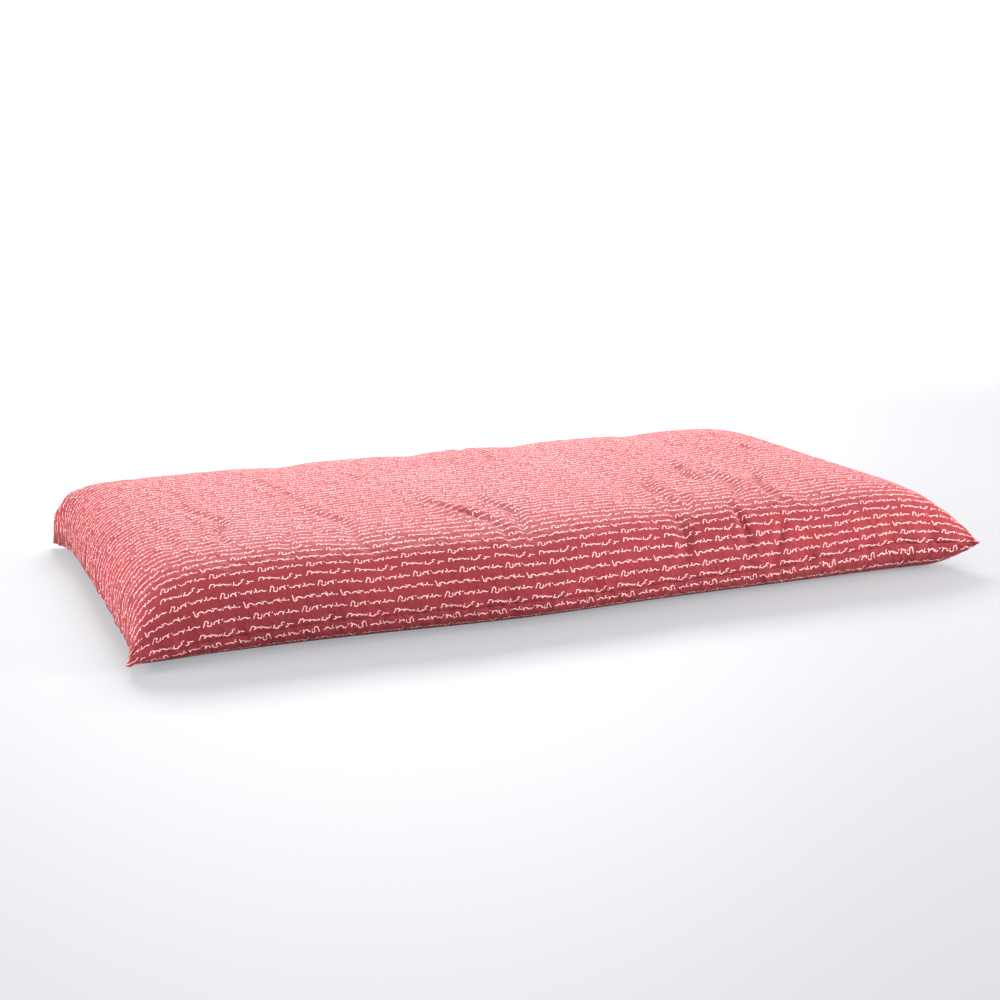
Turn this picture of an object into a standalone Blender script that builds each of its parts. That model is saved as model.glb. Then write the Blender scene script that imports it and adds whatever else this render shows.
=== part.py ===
"""Futon mattress: a cotton-filled, tufted mattress in a knife-edge zip-off cover.

Metres, +Z up. The origin is on the floor under the middle of the mattress, +X runs along the
length and +Y across the width. The zip of the cover runs along the seam of the +Y side.
"""

import math

import bmesh
import bpy

# Cover: the seam lies low on the side, and the crown is over the middle.
HALF_LENGTH = 1.000
HALF_WIDTH = 0.600
CROWN_HEIGHT = 0.205
SEAM_HEIGHT = 0.055
CORNER_SEAM_HEIGHT = 0.045
EAR_REACH = 0.022
EAR_SHARPNESS = 14
FABRIC = 0.0012
GAP = 0.0003
HALF_SEAM_GAP = 0.0008
HALF_CORNER_GAP = 0.0016
UNDERSIDE_TUCK = 0.085

# Section of a filled panel: how square the shoulders are along and across.
LENGTH_SQUARENESS = 14
WIDTH_SQUARENESS = 8
SHOULDER_POWER = 0.4
UNDERSIDE_POWER = 2.2
STATION_POWER = 2.6

# Inner casing of cotton ticking.
CASING_INSET = 0.026
CASING_SEAM_HEIGHT = 0.070
CASING_TOP = 0.182
CASING_BOTTOM = 0.0085
CASING_TUCK = 0.075

# Cotton batting, stacked in layers.
LAYERS = 6
LAYER_GAP = 0.0005
STACK_BOTTOM = CASING_BOTTOM + FABRIC + LAYER_GAP
STACK_TOP = 0.167
LAYER_MARGIN = 0.004
LAYER_CORNER = 0.16
LAYER_TUCK = 0.14
SIDE_SHARE_POWER = 0.62
CORNER_ARC_STEPS = 6

# Tufts: a tie through everything, and a felt washer under the knot at each end.
TUFTS_ALONG = (-0.66, -0.22, 0.22, 0.66)
TUFTS_ACROSS = (-0.36, 0.0, 0.36)
TIE_RADIUS = 0.0012
TIE_HOLE_RADIUS = 0.003
WASHER_RADIUS = 0.014
WASHER_BORE = 0.0018
WASHER_THICKNESS = 0.0024
WASHER_STANDOFF = 0.0016
KNOT_RADIUS = 0.0034
KNOT_HEIGHT = 0.0022

# Zip in the seam of the +Y side, closed at its +X end.
ZIP_HALF = 0.850
ZIP_HEIGHT = SEAM_HEIGHT
HEM_GAP = 0.0062
HEM_END = 0.870
HEM_EASE = 0.045
TAPE_THICKNESS = 0.0008
TAPE_WIDTH = 0.0110
TAPE_DEPTH = 0.0034
TEETH_THICKNESS = 0.0026
TEETH_WIDTH = 0.0028
TEETH_SPLIT = 0.0009
STOP_LENGTH = 0.0045
SLIDER_LENGTH = 0.0125
SLIDER_WIDTH = 0.0100
SLIDER_NOSE_WIDTH = 0.0066
PLATE_THICKNESS = 0.0013
POST_WIDTH = 0.0011
POST_LENGTH = 0.0030
LUG_THICKNESS = 0.0010
LUG_LENGTH = 0.0032
LUG_SPREAD = 0.0034
PIN_RADIUS = 0.0006
PIN_STANDOFF = 0.0021
PULL_BORE = 0.0010
PULL_THICKNESS = 0.0014
PULL_NECK_WIDTH = 0.0018
PULL_NECK_LENGTH = 0.0045
PULL_WIDTH = 0.0072
PULL_LENGTH = 0.0240
PULL_FLARE = 0.0025
PULL_CORNER = 0.0020
BARREL_WALL = 0.0008
NECK_OVERLAP = 0.0009
ZIP_BEVEL = 0.0004
JOINT_OVERLAP = 0.0004
POST_INSET = 0.0010
LUG_PAST_PIN = 0.0010
SLIDER_MOUTH = 0.72
SLIDER_WIDEST = (0.3, -0.1)

TAPE_Y = HALF_WIDTH - TAPE_DEPTH
SLIDER_X = ZIP_HALF - STOP_LENGTH - 0.5 * SLIDER_LENGTH - GAP
PIN_Y = TAPE_Y + 0.5 * TEETH_THICKNESS + GAP + PLATE_THICKNESS + PIN_STANDOFF

STATIONS_ALONG = 26
STATIONS_ACROSS = 20
CASING_STATIONS_ALONG = 18
CASING_STATIONS_ACROSS = 14


def clear_scene():
    for old in list(bpy.data.objects):
        bpy.data.objects.remove(old, do_unlink=True)


def new_collection(name):
    collection = bpy.data.collections.new(name)
    bpy.context.scene.collection.children.link(collection)
    return collection


def make_material(name, colour, roughness, metallic=0.0):
    material = bpy.data.materials.new(name)
    material.use_nodes = True
    shader = material.node_tree.nodes["Principled BSDF"]
    shader.inputs["Base Color"].default_value = (*colour, 1.0)
    shader.inputs["Roughness"].default_value = roughness
    shader.inputs["Metallic"].default_value = metallic
    return material


def add_object(name, data, material, collection):
    made = bpy.data.objects.new(name, data)
    data.materials.append(material)
    collection.objects.link(made)
    return made


def mesh_from(name, work):
    bmesh.ops.recalc_face_normals(work, faces=work.faces)
    mesh = bpy.data.meshes.new(name)
    work.to_mesh(mesh)
    work.free()
    return mesh


# ---------------------------------------------------------------- filled panels


def station(step, steps):
    """A place across a panel from -1 to 1, closer together towards the seams."""
    t = 2.0 * step / steps - 1.0
    return math.copysign(1.0 - (1.0 - abs(t)) ** STATION_POWER, t)


def fullness(along, across):
    """Height of a filled panel over its seam, as a share of the height at the crown."""
    lengthwise = max(0.0, 1.0 - abs(along) ** LENGTH_SQUARENESS) ** SHOULDER_POWER
    crosswise = max(0.0, 1.0 - abs(across) ** WIDTH_SQUARENESS) ** SHOULDER_POWER
    return lengthwise * crosswise


def underside(from_end, from_side, tuck):
    """How far an underside has come down from its seam to its flat, from 0 to 1."""
    down = 1.0
    for inset in (from_end, from_side):
        down *= 1.0 - max(0.0, 1.0 - inset / tuck) ** UNDERSIDE_POWER
    return down**SHOULDER_POWER


def corner_share(along, across):
    return (abs(along) * abs(across)) ** EAR_SHARPNESS


def cover_plan(along, across):
    """Plan position on the cover, where each corner runs out into a pointed ear."""
    reach = EAR_REACH * corner_share(along, across)
    x = along * HALF_LENGTH + math.copysign(reach, along)
    y = across * HALF_WIDTH + math.copysign(reach, across)
    return x, y


def seam_level(along, across):
    return SEAM_HEIGHT + (CORNER_SEAM_HEIGHT - SEAM_HEIGHT) * corner_share(along, across)


def hem_opening(x, along, across):
    """Half the opening between the panels: the zip's hems on +Y, and a sewn seam elsewhere."""
    if across < 1.0:
        return HALF_SEAM_GAP + (HALF_CORNER_GAP - HALF_SEAM_GAP) * corner_share(along, across)
    past = (abs(x) - HEM_END) / HEM_EASE
    ease = min(1.0, max(0.0, past))
    return HEM_GAP + (HALF_CORNER_GAP - HEM_GAP) * ease


def cover_top_point(along, across):
    x, y = cover_plan(along, across)
    low = seam_level(along, across)
    z = low + (CROWN_HEIGHT - low) * fullness(along, across)
    return x, y, max(z, low + hem_opening(x, along, across))


def cover_bottom_point(along, across):
    x, y = cover_plan(along, across)
    low = seam_level(along, across) - hem_opening(x, along, across)
    from_end = (1.0 - abs(along)) * HALF_LENGTH
    from_side = (1.0 - abs(across)) * HALF_WIDTH
    return x, y, low * (1.0 - underside(from_end, from_side, UNDERSIDE_TUCK))


def casing_top_height(along, across):
    return CASING_SEAM_HEIGHT + (CASING_TOP - CASING_SEAM_HEIGHT) * fullness(along, across)


def casing_top_point(along, across):
    x = along * (HALF_LENGTH - CASING_INSET)
    y = across * (HALF_WIDTH - CASING_INSET)
    return x, y, casing_top_height(along, across) + HALF_SEAM_GAP


def casing_bottom_point(along, across):
    half_length = HALF_LENGTH - CASING_INSET
    half_width = HALF_WIDTH - CASING_INSET
    from_end = (1.0 - abs(along)) * half_length
    from_side = (1.0 - abs(across)) * half_width
    rise = CASING_SEAM_HEIGHT - HALF_SEAM_GAP - CASING_BOTTOM
    z = CASING_BOTTOM + rise * (1.0 - underside(from_end, from_side, CASING_TUCK))
    return along * half_length, across * half_width, z


def panel(name, point, along_steps, across_steps, faces_up, material, collection):
    """An open sheet through point(along, across), with the fabric's thickness inside it."""
    work = bmesh.new()
    grid = bmesh.ops.create_grid(work, x_segments=along_steps, y_segments=across_steps, size=1.0)
    for vertex in grid["verts"]:
        along = station(round((vertex.co.x + 1.0) * 0.5 * along_steps), along_steps)
        across = station(round((vertex.co.y + 1.0) * 0.5 * across_steps), across_steps)
        vertex.co = point(along, across)
    mesh = bpy.data.meshes.new(name)
    if not faces_up:
        bmesh.ops.reverse_faces(work, faces=work.faces)
    work.to_mesh(mesh)
    work.free()
    mesh.shade_smooth()
    sheet = add_object(name, mesh, material, collection)
    shell = sheet.modifiers.new("fabric", "SOLIDIFY")
    shell.thickness = FABRIC
    shell.offset = -1.0
    return sheet


# ---------------------------------------------------------------- cotton layers and tufts


def reach_across(share, squareness):
    """The place from the middle, 0 to 1, where a filled panel's height falls to this share."""
    return (1.0 - share ** (1.0 / SHOULDER_POWER)) ** (1.0 / squareness)


def layer_half_sizes(low, high):
    """Largest half sizes of a flat layer between two heights that stays in the casing."""
    rise = CASING_TOP - CASING_SEAM_HEIGHT
    share = (max(0.0, high + LAYER_MARGIN - CASING_SEAM_HEIGHT) / rise) ** SIDE_SHARE_POWER
    below_seam = max(0.0, CASING_SEAM_HEIGHT - low + LAYER_MARGIN)
    depth = min(1.0, below_seam / (CASING_SEAM_HEIGHT - CASING_BOTTOM))
    down = depth ** (1.0 / SHOULDER_POWER)
    tuck = LAYER_TUCK * (1.0 - (1.0 - down) ** (1.0 / UNDERSIDE_POWER))
    sides = (
        (HALF_LENGTH - CASING_INSET, LENGTH_SQUARENESS),
        (HALF_WIDTH - CASING_INSET, WIDTH_SQUARENESS),
    )
    halves = []
    for half, squareness in sides:
        from_top = half * reach_across(share, squareness)
        halves.append(min(from_top, half - tuck) - LAYER_MARGIN)
    return halves


def closed_spline(curve, points):
    spline = curve.splines.new("POLY")
    spline.points.add(len(points) - 1)
    for place, (x, y) in zip(spline.points, points):
        place.co = (x, y, 0.0, 1.0)
    spline.use_cyclic_u = True


def rounded_rectangle(half_x, half_y, radius, steps):
    points = []
    for quarter, (sx, sy) in enumerate(((1, 1), (-1, 1), (-1, -1), (1, -1))):
        for step in range(steps + 1):
            angle = 0.5 * math.pi * (quarter + step / steps)
            x = sx * (half_x - radius) + radius * math.cos(angle)
            y = sy * (half_y - radius) + radius * math.sin(angle)
            points.append((x, y))
    return points


def circle(x, y, radius, steps=8):
    turns = [2.0 * math.pi * step / steps for step in range(steps)]
    return [(x + radius * math.cos(turn), y + radius * math.sin(turn)) for turn in turns]


def flat_piece(name, outlines, thickness, material, collection):
    curve = bpy.data.curves.new(name, "CURVE")
    curve.dimensions = "2D"
    curve.fill_mode = "BOTH"
    curve.extrude = 0.5 * thickness
    for points in outlines:
        closed_spline(curve, points)
    return add_object(name, curve, material, collection)


def cotton_layer(number, material, collection):
    pitch = (STACK_TOP - STACK_BOTTOM) / LAYERS
    low = STACK_BOTTOM + number * pitch
    thickness = pitch - LAYER_GAP
    half_x, half_y = layer_half_sizes(low, low + thickness)
    outlines = [rounded_rectangle(half_x, half_y, LAYER_CORNER, CORNER_ARC_STEPS)]
    outlines += [circle(x, y, TIE_HOLE_RADIUS) for x in TUFTS_ALONG for y in TUFTS_ACROSS]
    layer = flat_piece(f"cotton_layer_{number + 1}", outlines, thickness, material, collection)
    layer.location.z = low + 0.5 * thickness
    return layer


def turned(name, profile, steps, material, collection):
    """A profile of (radius, height) points, top to bottom on its outer side, turned about Z."""
    work = bmesh.new()
    points = [work.verts.new((radius, 0.0, height)) for radius, height in profile]
    for first, second in zip(points, points[1:]):
        work.edges.new((first, second))
    if profile[0][0] > 0.0:
        work.edges.new((points[-1], points[0]))
    mesh = bpy.data.meshes.new(name)
    work.to_mesh(mesh)
    work.free()
    made = add_object(name, mesh, material, collection)
    screw = made.modifiers.new("turn", "SCREW")
    screw.steps = steps
    screw.render_steps = steps
    screw.use_merge_vertices = True
    screw.merge_threshold = 0.0001
    screw.use_smooth_shade = True
    return made


def washer(name, x, y, middle_z, material, collection):
    half = 0.5 * WASHER_THICKNESS
    rim = WASHER_RADIUS - 0.4 * WASHER_THICKNESS
    profile = [
        (WASHER_BORE, half),
        (rim, half),
        (WASHER_RADIUS, 0.0),
        (rim, -half),
        (WASHER_BORE, -half),
    ]
    disc = turned(name, profile, 12, material, collection)
    disc.location = (x, y, middle_z)
    return disc


def tie(name, x, y, low, high, material, collection):
    """Waxed twine with a knot outside each washer. low and high are the washers' outer faces."""
    top = high + GAP + KNOT_HEIGHT
    bottom = low - GAP - KNOT_HEIGHT
    profile = [
        (0.0, top),
        (0.6 * KNOT_RADIUS, top),
        (KNOT_RADIUS, top - 0.5 * KNOT_HEIGHT),
        (TIE_RADIUS, high + GAP),
        (TIE_RADIUS, low - GAP),
        (KNOT_RADIUS, bottom + 0.5 * KNOT_HEIGHT),
        (0.6 * KNOT_RADIUS, bottom),
        (0.0, bottom),
    ]
    twine = turned(name, profile, 8, material, collection)
    twine.location = (x, y, 0.0)
    return twine


def tuft(row, column, x, y, felt, twine, collection):
    along = x / (HALF_LENGTH - CASING_INSET)
    across = y / (HALF_WIDTH - CASING_INSET)
    label = f"{'ABC'[row]}{column + 1}"
    upper = casing_top_height(along, across) + WASHER_STANDOFF
    lower = CASING_BOTTOM - WASHER_STANDOFF
    half = 0.5 * WASHER_THICKNESS
    washer(f"tuft_washer_top_{label}", x, y, upper + half, felt, collection)
    washer(f"tuft_washer_under_{label}", x, y, lower - half, felt, collection)
    low = lower - WASHER_THICKNESS
    high = upper + WASHER_THICKNESS
    tie(f"tuft_tie_{label}", x, y, low, high, twine, collection)


def tie_hole_cutters(collection):
    for x in TUFTS_ALONG:
        for y in TUFTS_ACROSS:
            work = bmesh.new()
            bmesh.ops.create_cone(
                work,
                cap_ends=True,
                segments=8,
                radius1=TIE_HOLE_RADIUS,
                radius2=TIE_HOLE_RADIUS,
                depth=2.0 * CROWN_HEIGHT,
            )
            cutter = bpy.data.objects.new("tie_hole", mesh_from("tie_hole", work))
            cutter.location = (x, y, 0.5 * CROWN_HEIGHT)
            cutter.hide_render = True
            cutter.display_type = "WIRE"
            collection.objects.link(cutter)


def cut_tie_holes(casing, cutters):
    cut = casing.modifiers.new("tie_holes", "BOOLEAN")
    cut.operand_type = "COLLECTION"
    cut.collection = cutters
    cut.operation = "DIFFERENCE"
    cut.solver = "EXACT"


# ---------------------------------------------------------------- zip


def add_box(work, low, high):
    made = bmesh.ops.create_cube(work, size=1.0)
    for vertex in made["verts"]:
        for axis in range(3):
            middle = 0.5 * (low[axis] + high[axis])
            vertex.co[axis] = middle + vertex.co[axis] * (high[axis] - low[axis])
    return made["verts"]


def bar(name, low, high, bevel, material, collection):
    work = bmesh.new()
    add_box(work, low, high)
    made = add_object(name, mesh_from(name, work), material, collection)
    if bevel > 0.0:
        edge = made.modifiers.new("edge", "BEVEL")
        edge.width = bevel
        edge.segments = 1
    return made


def zip_half(side, label, tape_cloth, tooth_metal, collection):
    """Tape, tooth row and top stop on one side of the zip: side is 1 above it, -1 below it."""

    def span(near, far):
        ends = sorted((ZIP_HEIGHT + side * near, ZIP_HEIGHT + side * far))
        return ends[0], ends[1]

    half_tape = 0.5 * TAPE_THICKNESS
    half_teeth = 0.5 * TEETH_THICKNESS
    teeth_far = TEETH_SPLIT + TEETH_WIDTH
    low, high = span(teeth_far + GAP, teeth_far + GAP + TAPE_WIDTH)
    tape_ends = ZIP_HALF + 2.0 * STOP_LENGTH
    bar(
        f"zip_tape_{label}",
        (-tape_ends, TAPE_Y - half_tape, low),
        (tape_ends, TAPE_Y + half_tape, high),
        0.0,
        tape_cloth,
        collection,
    )
    low, high = span(TEETH_SPLIT, teeth_far)
    teeth_end = ZIP_HALF - STOP_LENGTH - GAP
    bar(
        f"zip_teeth_{label}",
        (-teeth_end, TAPE_Y - half_teeth, low),
        (teeth_end, TAPE_Y + half_teeth, high),
        ZIP_BEVEL,
        tooth_metal,
        collection,
    )
    bar(
        f"zip_top_stop_{label}",
        (ZIP_HALF - STOP_LENGTH, TAPE_Y - half_teeth, low),
        (ZIP_HALF, TAPE_Y + half_teeth, high),
        ZIP_BEVEL,
        tooth_metal,
        collection,
    )


def zip_bottom_stop(material, collection):
    half = 0.5 * TEETH_THICKNESS
    reach = TEETH_SPLIT + TEETH_WIDTH
    low = (-ZIP_HALF, TAPE_Y - half, ZIP_HEIGHT - reach)
    high = (-ZIP_HALF + STOP_LENGTH, TAPE_Y + half, ZIP_HEIGHT + reach)
    bar("zip_bottom_stop", low, high, ZIP_BEVEL, material, collection)


def joined(name, pieces, material, collection):
    """One mesh object from a base mesh and others joined to it by Boolean unions."""
    base = add_object(name, pieces[0], material, collection)
    for number, other in enumerate(pieces[1:]):
        helper = bpy.data.objects.new(f"{name}_joint_{number}", other)
        helper.hide_render = True
        helper.display_type = "WIRE"
        bpy.data.collections["cutters"].children["zip_helpers"].objects.link(helper)
        helper.parent = base
        union = base.modifiers.new(f"join_{number}", "BOOLEAN")
        union.object = helper
        union.operation = "UNION"
        union.solver = "EXACT"
    return base


def plate_mesh(name, low_y):
    """A slider plate: wide where the two tooth rows enter, narrower where they leave meshed."""
    half_length = 0.5 * SLIDER_LENGTH
    half_width = 0.5 * SLIDER_WIDTH
    outline = [
        (half_length, SLIDER_MOUTH * half_width),
        (SLIDER_WIDEST[0] * SLIDER_LENGTH, half_width),
        (SLIDER_WIDEST[1] * SLIDER_LENGTH, half_width),
        (-half_length, 0.5 * SLIDER_NOSE_WIDTH),
    ]
    outline += [(x, -z) for x, z in reversed(outline)]
    work = bmesh.new()
    face = work.faces.new([work.verts.new((x, low_y, z)) for x, z in outline])
    grown = bmesh.ops.extrude_face_region(work, geom=[face])
    corners = [item for item in grown["geom"] if isinstance(item, bmesh.types.BMVert)]
    bmesh.ops.translate(work, verts=corners, vec=(0.0, PLATE_THICKNESS, 0.0))
    return mesh_from(name, work)


def box_mesh(name, low, high):
    work = bmesh.new()
    add_box(work, low, high)
    return mesh_from(name, work)


def pin_mesh(name, radius, half_length, y):
    work = bmesh.new()
    bmesh.ops.create_cone(
        work,
        cap_ends=True,
        segments=12,
        radius1=radius,
        radius2=radius,
        depth=2.0 * half_length,
    )
    bmesh.ops.translate(work, verts=work.verts, vec=(0.0, y, 0.0))
    return mesh_from(name, work)


def zip_slider(material, collection):
    """Two plates on a post that runs between the tooth rows, with two lugs and the pull's pin."""
    half_teeth = 0.5 * TEETH_THICKNESS
    outer_y = half_teeth + GAP
    inner_y = -half_teeth - GAP - PLATE_THICKNESS
    plate_top = outer_y + PLATE_THICKNESS
    pin_y = plate_top + PIN_STANDOFF
    half_post = 0.5 * POST_WIDTH
    post_x = 0.5 * SLIDER_LENGTH - POST_LENGTH - POST_INSET
    post_low = (post_x, inner_y + JOINT_OVERLAP, -half_post)
    post_high = (post_x + POST_LENGTH, outer_y + JOINT_OVERLAP, half_post)
    pieces = [
        plate_mesh("slider_outer_plate", outer_y),
        plate_mesh("slider_inner_plate", inner_y),
        box_mesh("slider_post", post_low, post_high),
    ]
    for side in (-1, 1):
        near = side * 0.5 * LUG_SPREAD
        far = side * (0.5 * LUG_SPREAD + LUG_THICKNESS)
        low = (-0.5 * LUG_LENGTH, plate_top - JOINT_OVERLAP, min(near, far))
        high = (0.5 * LUG_LENGTH, pin_y + LUG_PAST_PIN, max(near, far))
        pieces.append(box_mesh(f"slider_lug_{side}", low, high))
    pin_reach = 0.5 * (LUG_SPREAD + LUG_THICKNESS)
    pieces.append(pin_mesh("slider_pin", PIN_RADIUS, pin_reach, pin_y))
    # The post joins the two plates first, so every union meets a body that it touches.
    pieces[0], pieces[2] = pieces[2], pieces[0]
    slider = joined("zip_slider", pieces, material, collection)
    slider.location = (SLIDER_X, TAPE_Y, ZIP_HEIGHT)
    return slider


def zip_pull(material, collection):
    """Flat tab, bored for the slider's pin. It lies along the zip, towards -X."""
    outline = [
        (PULL_BORE + NECK_OVERLAP, 0.5 * PULL_NECK_WIDTH),
        (-PULL_NECK_LENGTH, 0.5 * PULL_NECK_WIDTH),
        (-PULL_NECK_LENGTH - PULL_FLARE, 0.5 * PULL_WIDTH),
        (-PULL_LENGTH + PULL_CORNER, 0.5 * PULL_WIDTH),
        (-PULL_LENGTH, 0.5 * PULL_WIDTH - PULL_CORNER),
    ]
    outline += [(x, -z) for x, z in reversed(outline)]
    work = bmesh.new()
    half = 0.5 * PULL_THICKNESS
    face = work.faces.new([work.verts.new((x, -half, z)) for x, z in outline])
    grown = bmesh.ops.extrude_face_region(work, geom=[face])
    corners = [item for item in grown["geom"] if isinstance(item, bmesh.types.BMVert)]
    bmesh.ops.translate(work, verts=corners, vec=(0.0, PULL_THICKNESS, 0.0))
    barrel = pin_mesh("pull_barrel", PULL_BORE + BARREL_WALL, 0.5 * PULL_NECK_WIDTH, 0.0)
    pull = joined("zip_pull", [mesh_from("zip_pull", work), barrel], material, collection)
    bore = bpy.data.objects.new("pull_bore", pin_mesh("pull_bore", PULL_BORE, PULL_WIDTH, 0.0))
    bore.hide_render = True
    bore.display_type = "WIRE"
    bpy.data.collections["cutters"].children["zip_helpers"].objects.link(bore)
    bore.parent = pull
    cut = pull.modifiers.new("bore", "BOOLEAN")
    cut.object = bore
    cut.operation = "DIFFERENCE"
    cut.solver = "EXACT"
    pull.location = (SLIDER_X, PIN_Y, ZIP_HEIGHT)
    return pull


def main():
    clear_scene()
    parts = new_collection("futon_mattress")
    cutters = new_collection("cutters")
    tie_holes = bpy.data.collections.new("tie_holes")
    zip_helpers = bpy.data.collections.new("zip_helpers")
    cutters.children.link(tie_holes)
    cutters.children.link(zip_helpers)

    cover_cloth = make_material("cover_cotton", (0.48, 0.06, 0.075), 0.85)
    ticking = make_material("ticking_cotton", (0.74, 0.69, 0.58), 0.9)
    batting = make_material("cotton_batting", (0.86, 0.83, 0.75), 1.0)
    felt = make_material("wool_felt", (0.62, 0.58, 0.50), 0.95)
    twine = make_material("waxed_twine", (0.80, 0.74, 0.60), 0.6)
    zip_cloth = make_material("zip_tape_cloth", (0.34, 0.035, 0.05), 0.8)
    zip_metal = make_material("zip_metal", (0.62, 0.55, 0.42), 0.35, 1.0)

    size = (STATIONS_ALONG, STATIONS_ACROSS)
    casing_size = (CASING_STATIONS_ALONG, CASING_STATIONS_ACROSS)
    panel("cover_top_panel", cover_top_point, *size, True, cover_cloth, parts)
    panel("cover_bottom_panel", cover_bottom_point, *size, False, cover_cloth, parts)
    casings = [
        panel("casing_top_panel", casing_top_point, *casing_size, True, ticking, parts),
        panel("casing_bottom_panel", casing_bottom_point, *casing_size, False, ticking, parts),
    ]
    tie_hole_cutters(tie_holes)
    for casing in casings:
        cut_tie_holes(casing, tie_holes)
    for number in range(LAYERS):
        cotton_layer(number, batting, parts)
    for row, y in enumerate(TUFTS_ACROSS):
        for column, x in enumerate(TUFTS_ALONG):
            tuft(row, column, x, y, felt, twine, parts)
    zip_half(1, "upper", zip_cloth, zip_metal, parts)
    zip_half(-1, "lower", zip_cloth, zip_metal, parts)
    zip_bottom_stop(zip_metal, parts)
    zip_slider(zip_metal, parts)
    zip_pull(zip_metal, parts)


main()
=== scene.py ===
"""Futon mattress in its zip-off printed cotton cover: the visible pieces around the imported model."""

import math

import bpy
import numpy as np
from mathutils import Matrix, Vector


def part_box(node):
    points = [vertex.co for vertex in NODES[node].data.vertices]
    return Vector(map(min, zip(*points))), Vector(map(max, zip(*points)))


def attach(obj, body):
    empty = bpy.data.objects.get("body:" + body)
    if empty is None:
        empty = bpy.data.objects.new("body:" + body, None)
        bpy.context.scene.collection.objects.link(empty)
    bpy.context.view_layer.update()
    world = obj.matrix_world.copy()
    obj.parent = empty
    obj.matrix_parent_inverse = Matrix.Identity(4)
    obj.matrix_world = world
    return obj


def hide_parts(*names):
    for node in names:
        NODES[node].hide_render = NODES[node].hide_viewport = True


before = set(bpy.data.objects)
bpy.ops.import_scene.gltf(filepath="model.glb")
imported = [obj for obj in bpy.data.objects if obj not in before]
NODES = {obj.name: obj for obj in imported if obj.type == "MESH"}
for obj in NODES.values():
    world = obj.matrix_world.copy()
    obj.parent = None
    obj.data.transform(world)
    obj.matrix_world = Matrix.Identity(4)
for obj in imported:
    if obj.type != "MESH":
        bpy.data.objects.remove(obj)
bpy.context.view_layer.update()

# Cover: plan and section of the filled cover, in metres.
HALF_LENGTH = 1.000
HALF_WIDTH = 0.600
CROWN = 0.206
SEAM = 0.055
LENGTH_SQUARENESS = 14.0
WIDTH_SQUARENESS = 8.0
SHOULDER_POWER = 0.4
UNDERSIDE_TUCK = 0.085
UNDERSIDE_POWER = 2.2
UNDERSIDE_REST = 0.0010
EAR_REACH = 0.024
EAR_SHARPNESS = 14.0
CLOTH_STEP = 0.0083
CLOTH_THICKNESS = 0.0010
RIM_RINGS = 13

# How the seam rises and falls along the front side, and at the back corners.
FRONT_SEAM_STATIONS = (-1.03, -0.85, -0.60, 0.0, 0.50, 0.80, 1.03)
FRONT_SEAM_HEIGHTS = (0.020, 0.045, 0.055, 0.050, 0.055, 0.080, 0.066)
BACK_CORNER_DROP = 0.010
TUCKED_DROP = 0.030
TUCKED_REACH = 0.003
TUCKED_FULLNESS = 0.62
TUCK_START = 0.885
TUCK_END = 0.99
TUCK_SIDE_START = 0.60
LEAN_START = 0.72
FRONT_SEAM_FADE = (-1.0, -0.1)

# Shallow valleys across the top, where the filling has settled between its ties.
VALLEYS = (-0.46, -0.08, 0.25, 0.62)
VALLEY_DEPTH = 0.0085
VALLEY_WIDTH = 0.060
VALLEY_LEAN = 0.025
VALLEY_TURN = 2.1
VALLEY_AT_MIDDLE = 0.55
VALLEY_GROWTH = 0.45
FRONT_BULGE = 0.024
FRONT_BULGE_MIDDLE = -0.15
FRONT_BULGE_SPREAD = 0.30
FRONT_BULGE_FADE = (0.55, 0.95)

# Zip on the +Y side.
ZIP_Z = SEAM
HEM_GAP = 0.0062
HEM_END = 0.864
HEM_EASE = 0.024
HEM_SPREAD = 0.045
SMOOTH_BY_ZIP = (0.015, 0.055)
ON_SEAM = 0.9999

# Creases across the cover: (x, y, x, y) on the flat cut in metres, then depth and half width in millimetres.
CREASES = (
    (0.29, -0.46, 0.235, -0.66, 10.5, 15.6),
    (0.36, -0.12, 0.27, -0.56, 8.0, 14.3),
    (0.56, -0.06, 0.46, -0.55, 9.0, 15.6),
    (0.64, -0.14, 0.53, -0.6, 8.0, 13.0),
    (0.49, 0.02, 0.46, -0.3, 7.0, 14.3),
    (0.44, -0.48, 0.4, -0.65, 10.0, 11.7),
    (0.34, -0.36, 0.3, -0.58, 6.0, 11.7),
    (-0.20, -0.24, -0.13, -0.62, 8.0, 14.3),
    (-0.25, -0.05, -0.17, -0.48, 7.0, 15.6),
    (-0.08, -0.08, -0.1, -0.6, 7.0, 13.0),
    (-0.56, 0.38, -0.45, -0.62, 6.0, 15.6),
    (-0.80, 0.30, -0.73, -0.34, 4.5, 13.0),
    (-0.74, -0.16, -0.76, -0.44, 6.5, 11.7),
    (0.52, -0.55, 0.49, -0.67, 7.0, 11.7),
    (0.10, 0.55, 0.06, 0.05, 5.0, 15.6),
    (0.80, 0.45, 0.76, -0.1, 4.5, 15.6),
)
CREASE_SEED = 11
FAINT_CREASES = 46
CREASE_BEND = 0.012
CREASE_WAVES = 17.0
CREASE_SCATTER = 40.0
CREASE_END = 0.02
RIDGE_PLACE = 1.9
RIDGE_SHARE = 0.45
FAR_RIDGE_SHARE = 0.6
PUCKER_SEED = 5
PUCKER_REACH = 0.050
PUCKER_DEPTH = 0.0042
PUCKER_WAVES = 7
PUCKER_WAVE_SHARE = 0.30

# Cloth settling.
TOP_HOLD = 0.30
SIDE_HOLD = 0.08
SEAM_HOLD = 0.45
HOLD_FADE = (0.02, 0.16)
BENDING = 0.4
PRESSURE = 1.2
PIN_STIFFNESS = 1.0
SETTLE_FRAMES = 16
MOST_MOVED = 0.020
EVEN_TIMES = 4
MOST_EXTRA = 0.12
EXTRA_ON_TOP = 0.15
EXTRA_AT_SEAM = 0.30
EXTRA_AT_VALLEYS = 0.25
RUFFLE = 0.0012
RUFFLE_SEED = 3
RESTING_FLAT = (0.84, 0.73)  # as shares of the half length and the half width

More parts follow.
